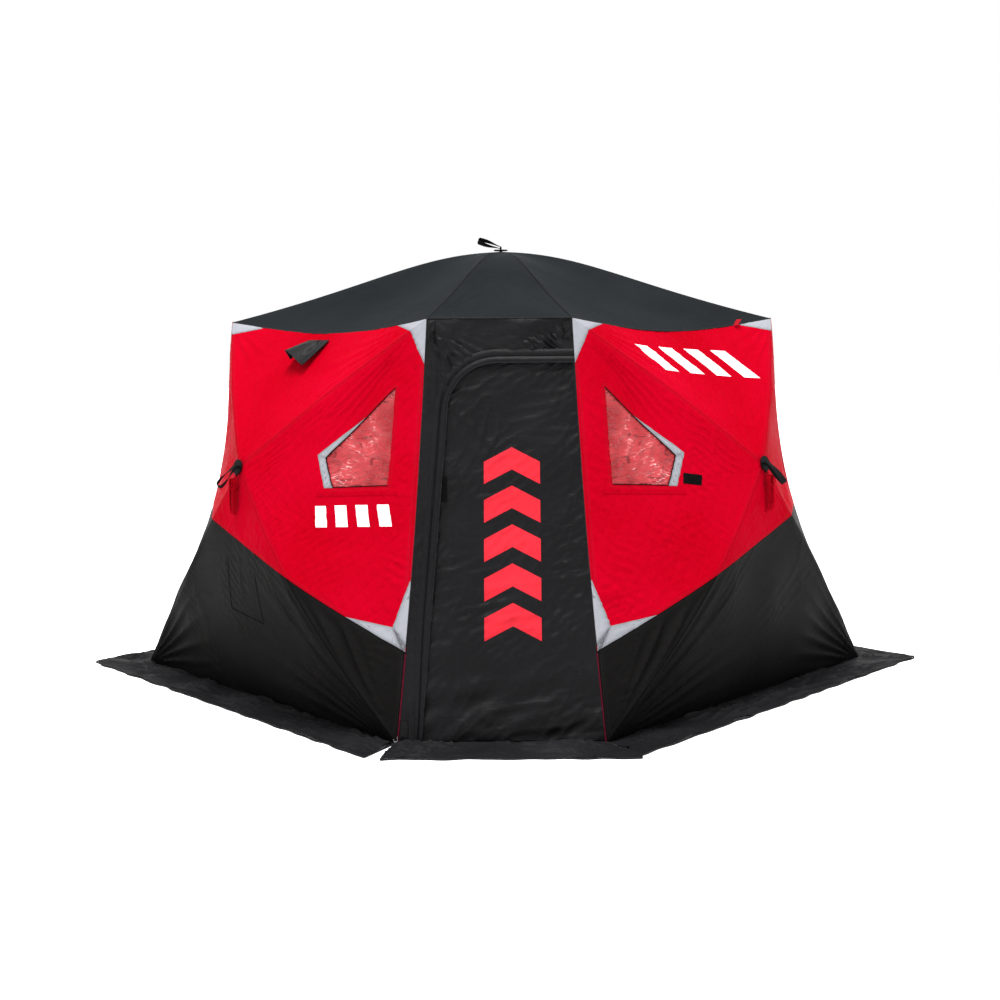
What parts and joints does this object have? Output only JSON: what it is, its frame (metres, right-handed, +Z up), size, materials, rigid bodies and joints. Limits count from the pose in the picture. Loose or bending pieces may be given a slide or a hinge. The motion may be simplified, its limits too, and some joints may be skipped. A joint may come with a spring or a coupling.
{
  "type": "ice fishing shelter",
  "caption": "Six-sided pop-up ice fishing shelter: four pull-out hub walls, hub roof, front and back zipped doors, snow skirt, windows and guy ropes.",
  "frame": {"origin": "on the floor at the middle of the shelter, on the underside of the snow skirt", "axes": "+X to the right as seen from the front door, +Y from the front door to the back door, +Z up"},
  "size_m": [4.0818, 3.656, 2.1012],
  "materials": {
    "red_cloth": "quilted bright red polyester shell with a soft sheen",
    "black_cloth": "plain black coated polyester, taut and wrinkled",
    "roof_cloth": "plain dark grey-black coated polyester",
    "door_cloth": "plain black coated polyester",
    "skirt_cloth": "black coated cloth with a slight gloss",
    "window_film": "clear flexible film, creased",
    "hub_plastic": "moulded black plastic",
    "pole_fibreglass": "pultruded black glass-fibre rod",
    "webbing": "ribbed black webbing",
    "rope": "braided red cord",
    "zip": "black coil zip and pull tab"
  },
  "bodies": {
    "root": {"upper_wall_front_left": "red_cloth", "lower_wall_front_left": "black_cloth", "window_front_left": "window_film", "upper_wall_front_right": "red_cloth", "lower_wall_front_right": "black_cloth", "window_front_right": "window_film", "upper_wall_back_left": "red_cloth", "lower_wall_back_left": "black_cloth", "window_back_left": "window_film", "upper_wall_back_right": "red_cloth", "lower_wall_back_right": "black_cloth", "window_back_right": "window_film", "roof_cloth": "roof_cloth", "door_surround_front": "door_cloth", "door_surround_back": "door_cloth", "skirt_front": "skirt_cloth", "skirt_back": "skirt_cloth", "skirt_left": "skirt_cloth", "skirt_right": "skirt_cloth"},
    "hub_front_left": {"hub_front_left": "hub_plastic", "rope_hank_front_left": "rope"},
    "pole_front_left_door_foot": {"pole_front_left_door_foot": "pole_fibreglass"},
    "pole_front_left_side_foot": {"pole_front_left_side_foot": "pole_fibreglass"},
    "pole_front_left_side_top": {"pole_front_left_side_top": "pole_fibreglass"},
    "pole_front_left_door_top": {"pole_front_left_door_top": "pole_fibreglass"},
    "hub_front_right": {"hub_front_right": "hub_plastic", "rope_hank_front_right": "rope"},
    "pole_front_right_door_foot": {"pole_front_right_door_foot": "pole_fibreglass"},
    "pole_front_right_side_foot": {"pole_front_right_side_foot": "pole_fibreglass"},
    "pole_front_right_side_top": {"pole_front_right_side_top": "pole_fibreglass"},
    "pole_front_right_door_top": {"pole_front_right_door_top": "pole_fibreglass"},
    "hub_back_left": {"hub_back_left": "hub_plastic", "rope_hank_back_left": "rope"},
    "pole_back_left_door_foot": {"pole_back_left_door_foot": "pole_fibreglass"},
    "pole_back_left_side_foot": {"pole_back_left_side_foot": "pole_fibreglass"},
    "pole_back_left_side_top": {"pole_back_left_side_top": "pole_fibreglass"},
    "pole_back_left_door_top": {"pole_back_left_door_top": "pole_fibreglass"},
    "hub_back_right": {"hub_back_right": "hub_plastic", "rope_hank_back_right": "rope"},
    "pole_back_right_door_foot": {"pole_back_right_door_foot": "pole_fibreglass"},
    "pole_back_right_side_foot": {"pole_back_right_side_foot": "pole_fibreglass"},
    "pole_back_right_side_top": {"pole_back_right_side_top": "pole_fibreglass"},
    "pole_back_right_door_top": {"pole_back_right_door_top": "pole_fibreglass"},
    "hub_roof": {"hub_roof": "hub_plastic"},
    "pole_roof_front_right": {"pole_roof_front_right": "pole_fibreglass"},
    "pole_roof_right": {"pole_roof_right": "pole_fibreglass"},
    "pole_roof_back_right": {"pole_roof_back_right": "pole_fibreglass"},
    "pole_roof_back_left": {"pole_roof_back_left": "pole_fibreglass"},
    "pole_roof_left": {"pole_roof_left": "pole_fibreglass"},
    "pole_roof_front_left": {"pole_roof_front_left": "pole_fibreglass"},
    "pull_strap_front_left": {"pull_strap_front_left": "webbing"},
    "pull_strap_front_right": {"pull_strap_front_right": "webbing"},
    "pull_strap_back_left": {"pull_strap_back_left": "webbing"},
    "pull_strap_back_right": {"pull_strap_back_right": "webbing"},
    "pull_strap_roof": {"pull_strap_roof": "webbing"},
    "door_leaf_front": {"door_leaf_front": "door_cloth"},
    "zip_pull_front": {"zip_pull_front": "zip"},
    "door_leaf_back": {"door_leaf_back": "door_cloth"},
    "zip_pull_back": {"zip_pull_back": "zip"},
    "vent_hood": {"vent_hood": "door_cloth"}
  },
  "joints": [
    {"name": "hub_front_left_pop", "type": "slide", "parent": "root", "child": "hub_front_left", "axis": [0.7517, 0.6319, -0.189], "range_m": [0, 0.6], "deforming": ["upper_wall_front_left", "lower_wall_front_left", "window_front_left"]},
    {"name": "pole_front_left_door_foot_pivot", "type": "hinge", "parent": "hub_front_left", "child": "pole_front_left_door_foot", "pos_m": [-1.10934, -0.89755, 0.99428], "axis": [-0.5531, 0.4478, -0.7026], "range_deg": [0, 27.1]},
    {"name": "pole_front_left_side_foot_pivot", "type": "hinge", "parent": "hub_front_left", "child": "pole_front_left_side_foot", "pos_m": [-1.16675, -0.82904, 0.99496], "axis": [-0.3373, 0.6145, 0.7132], "range_deg": [0, 26.57]},
    {"name": "pole_front_left_side_top_pivot", "type": "hinge", "parent": "hub_front_left", "child": "pole_front_left_side_top", "pos_m": [-1.1551, -0.81814, 1.07777], "axis": [0.5399, -0.425, 0.7265], "range_deg": [0, 36.83]},
    {"name": "pole_front_left_door_top_pivot", "type": "hinge", "parent": "hub_front_left", "child": "pole_front_left_door_top", "pos_m": [-1.09575, -0.88894, 1.07707], "axis": [0.3169, -0.5974, -0.7367], "range_deg": [0, 36.18]},
    {"name": "hub_front_right_pop", "type": "slide", "parent": "root", "child": "hub_front_right", "axis": [-0.7517, 0.6319, -0.189], "range_m": [0, 0.6], "deforming": ["upper_wall_front_right", "lower_wall_front_right", "window_front_right"]},
    {"name": "pole_front_right_door_foot_pivot", "type": "hinge", "parent": "hub_front_right", "child": "pole_front_right_door_foot", "pos_m": [1.10934, -0.89755, 0.99428], "axis": [-0.5531, -0.4478, 0.7026], "range_deg": [0, 27.1]},
    {"name": "pole_front_right_side_foot_pivot", "type": "hinge", "parent": "hub_front_right", "child": "pole_front_right_side_foot", "pos_m": [1.16675, -0.82904, 0.99496], "axis": [-0.3373, -0.6145, -0.7132], "range_deg": [0, 26.57]},
    {"name": "pole_front_right_side_top_pivot", "type": "hinge", "parent": "hub_front_right", "child": "pole_front_right_side_top", "pos_m": [1.1551, -0.81814, 1.07777], "axis": [0.5399, 0.425, -0.7265], "range_deg": [0, 36.83]},
    {"name": "pole_front_right_door_top_pivot", "type": "hinge", "parent": "hub_front_right", "child": "pole_front_right_door_top", "pos_m": [1.09575, -0.88894, 1.07707], "axis": [0.3169, 0.5974, 0.7367], "range_deg": [0, 36.18]},
    {"name": "hub_back_left_pop", "type": "slide", "parent": "root", "child": "hub_back_left", "axis": [0.7517, -0.6319, -0.189], "range_m": [0, 0.6], "deforming": ["upper_wall_back_left", "lower_wall_back_left", "window_back_left"]},
    {"name": "pole_back_left_door_foot_pivot", "type": "hinge", "parent": "hub_back_left", "child": "pole_back_left_door_foot", "pos_m": [-1.10934, 0.89755, 0.99428], "axis": [0.5531, 0.4478, 0.7026], "range_deg": [0, 27.1]},
    {"name": "pole_back_left_side_foot_pivot", "type": "hinge", "parent": "hub_back_left", "child": "pole_back_left_side_foot", "pos_m": [-1.16675, 0.82904, 0.99496], "axis": [0.3373, 0.6145, -0.7132], "range_deg": [0, 26.57]},
    {"name": "pole_back_left_side_top_pivot", "type": "hinge", "parent": "hub_back_left", "child": "pole_back_left_side_top", "pos_m": [-1.1551, 0.81814, 1.07777], "axis": [-0.5399, -0.425, -0.7265], "range_deg": [0, 36.83]},
    {"name": "pole_back_left_door_top_pivot", "type": "hinge", "parent": "hub_back_left", "child": "pole_back_left_door_top", "pos_m": [-1.09575, 0.88894, 1.07707], "axis": [-0.3169, -0.5974, 0.7367], "range_deg": [0, 36.18]},
    {"name": "hub_back_right_pop", "type": "slide", "parent": "root", "child": "hub_back_right", "axis": [-0.7517, -0.6319, -0.189], "range_m": [0, 0.6], "deforming": ["upper_wall_back_right", "lower_wall_back_right", "window_back_right"]},
    {"name": "pole_back_right_door_foot_pivot", "type": "hinge", "parent": "hub_back_right", "child": "pole_back_right_door_foot", "pos_m": [1.10934, 0.89755, 0.99428], "axis": [0.5531, -0.4478, -0.7026], "range_deg": [0, 27.1]},
    {"name": "pole_back_right_side_foot_pivot", "type": "hinge", "parent": "hub_back_right", "child": "pole_back_right_side_foot", "pos_m": [1.16675, 0.82904, 0.99496], "axis": [0.3373, -0.6145, 0.7132], "range_deg": [0, 26.57]},
    {"name": "pole_back_right_side_top_pivot", "type": "hinge", "parent": "hub_back_right", "child": "pole_back_right_side_top", "pos_m": [1.1551, 0.81814, 1.07777], "axis": [-0.5399, 0.425, 0.7265], "range_deg": [0, 36.83]},
    {"name": "pole_back_right_door_top_pivot", "type": "hinge", "parent": "hub_back_right", "child": "pole_back_right_door_top", "pos_m": [1.09575, 0.88894, 1.07707], "axis": [-0.3169, 0.5974, -0.7367], "range_deg": [0, 36.18]},
    {"name": "hub_roof_pop", "type": "slide", "parent": "root", "child": "hub_roof", "axis": [0, 0, -1], "range_m": [0, 0.64], "deforming": ["roof_cloth"]},
    {"name": "pole_roof_front_right_pivot", "type": "hinge", "parent": "hub_roof", "child": "pole_roof_front_right", "pos_m": [0.01812, -0.07278, 1.996], "axis": [-0.9704, -0.2416, 0], "range_deg": [0, 33.06]},
    {"name": "pole_roof_right_pivot", "type": "hinge", "parent": "hub_roof", "child": "pole_roof_right", "pos_m": [0.075, 0, 1.996], "axis": [0, -1, 0], "range_deg": [0, 31.22]},
    {"name": "pole_roof_back_right_pivot", "type": "hinge", "parent": "hub_roof", "child": "pole_roof_back_right", "pos_m": [0.01812, 0.07278, 1.996], "axis": [0.9704, -0.2416, 0], "range_deg": [0, 33.06]},
    {"name": "pole_roof_back_left_pivot", "type": "hinge", "parent": "hub_roof", "child": "pole_roof_back_left", "pos_m": [-0.01812, 0.07278, 1.996], "axis": [0.9704, 0.2416, 0], "range_deg": [0, 33.06]},
    {"name": "pole_roof_left_pivot", "type": "hinge", "parent": "hub_roof", "child": "pole_roof_left", "pos_m": [-0.075, 0, 1.996], "axis": [0, 1, 0], "range_deg": [0, 31.22]},
    {"name": "pole_roof_front_left_pivot", "type": "hinge", "parent": "hub_roof", "child": "pole_roof_front_left", "pos_m": [-0.01812, -0.07278, 1.996], "axis": [-0.9704, 0.2416, 0], "range_deg": [0, 33.06]},
    {"name": "pull_strap_front_left_swing", "type": "hinge", "parent": "hub_front_left", "child": "pull_strap_front_left", "pos_m": [-1.1722, -0.89245, 1.04702], "axis": [-0.6435, 0.7655, 0], "range_deg": [-5, 110]},
    {"name": "pull_strap_front_right_swing", "type": "hinge", "parent": "hub_front_right", "child": "pull_strap_front_right", "pos_m": [1.1722, -0.89245, 1.04702], "axis": [-0.6435, -0.7655, 0], "range_deg": [-5, 110]},
    {"name": "pull_strap_back_left_swing", "type": "hinge", "parent": "hub_back_left", "child": "pull_strap_back_left", "pos_m": [-1.1722, 0.89245, 1.04702], "axis": [0.6435, 0.7655, 0], "range_deg": [-5, 110]},
    {"name": "pull_strap_back_right_swing", "type": "hinge", "parent": "hub_back_right", "child": "pull_strap_back_right", "pos_m": [1.1722, 0.89245, 1.04702], "axis": [0.6435, -0.7655, 0], "range_deg": [-5, 110]},
    {"name": "pull_strap_roof_swing", "type": "hinge", "parent": "hub_roof", "child": "pull_strap_roof", "pos_m": [0, 0, 2.05], "axis": [0, 1, 0], "range_deg": [-8, 144]},
    {"name": "door_front_swing", "type": "hinge", "parent": "root", "child": "door_leaf_front", "pos_m": [0.408, -1.59854, -0.00032], "axis": [-0.066, 0.216, 0.9742], "range_deg": [0, 115]},
    {"name": "zip_front_slide", "type": "slide", "parent": "root", "child": "zip_pull_front", "axis": [0.0748, 0.2159, 0.9736], "range_m": [-0.93, 0.23]},
    {"name": "door_back_swing", "type": "hinge", "parent": "root", "child": "door_leaf_back", "pos_m": [-0.408, 1.59854, -0.00032], "axis": [0.066, -0.216, 0.9742], "range_deg": [0, 115]},
    {"name": "zip_back_slide", "type": "slide", "parent": "root", "child": "zip_pull_back", "axis": [-0.0748, -0.2159, 0.9736], "range_m": [-0.93, 0.23]},
    {"name": "vent_hood_swing", "type": "hinge", "parent": "root", "child": "vent_hood", "pos_m": [-0.83448, -0.59398, 1.59825], "axis": [0.6435, -0.7655, 0], "range_deg": [-20, 5]}
  ],
  "couplings": [
    {"joint": "pole_front_left_door_foot_pivot", "follows": "hub_front_left_pop", "rad_per_m": 0.78823},
    {"joint": "pole_front_left_side_foot_pivot", "follows": "hub_front_left_pop", "rad_per_m": 0.77281},
    {"joint": "pole_front_left_side_top_pivot", "follows": "hub_front_left_pop", "rad_per_m": 1.0712},
    {"joint": "pole_front_left_door_top_pivot", "follows": "hub_front_left_pop", "rad_per_m": 1.0523},
    {"joint": "pole_front_right_door_foot_pivot", "follows": "hub_front_right_pop", "rad_per_m": 0.78823},
    {"joint": "pole_front_right_side_foot_pivot", "follows": "hub_front_right_pop", "rad_per_m": 0.77281},
    {"joint": "pole_front_right_side_top_pivot", "follows": "hub_front_right_pop", "rad_per_m": 1.0712},
    {"joint": "pole_front_right_door_top_pivot", "follows": "hub_front_right_pop", "rad_per_m": 1.0523},
    {"joint": "pole_back_left_door_foot_pivot", "follows": "hub_back_left_pop", "rad_per_m": 0.78823},
    {"joint": "pole_back_left_side_foot_pivot", "follows": "hub_back_left_pop", "rad_per_m": 0.77281},
    {"joint": "pole_back_left_side_top_pivot", "follows": "hub_back_left_pop", "rad_per_m": 1.0712},
    {"joint": "pole_back_left_door_top_pivot", "follows": "hub_back_left_pop", "rad_per_m": 1.0523},
    {"joint": "pole_back_right_door_foot_pivot", "follows": "hub_back_right_pop", "rad_per_m": 0.78823},
    {"joint": "pole_back_right_side_foot_pivot", "follows": "hub_back_right_pop", "rad_per_m": 0.77281},
    {"joint": "pole_back_right_side_top_pivot", "follows": "hub_back_right_pop", "rad_per_m": 1.0712},
    {"joint": "pole_back_right_door_top_pivot", "follows": "hub_back_right_pop", "rad_per_m": 1.0523},
    {"joint": "pole_roof_front_right_pivot", "follows": "hub_roof_pop", "rad_per_m": 0.90148},
    {"joint": "pole_roof_right_pivot", "follows": "hub_roof_pop", "rad_per_m": 0.85131},
    {"joint": "pole_roof_back_right_pivot", "follows": "hub_roof_pop", "rad_per_m": 0.90148},
    {"joint": "pole_roof_back_left_pivot", "follows": "hub_roof_pop", "rad_per_m": 0.90148},
    {"joint": "pole_roof_left_pivot", "follows": "hub_roof_pop", "rad_per_m": 0.85131},
    {"joint": "pole_roof_front_left_pivot", "follows": "hub_roof_pop", "rad_per_m": 0.90148}
  ]
}
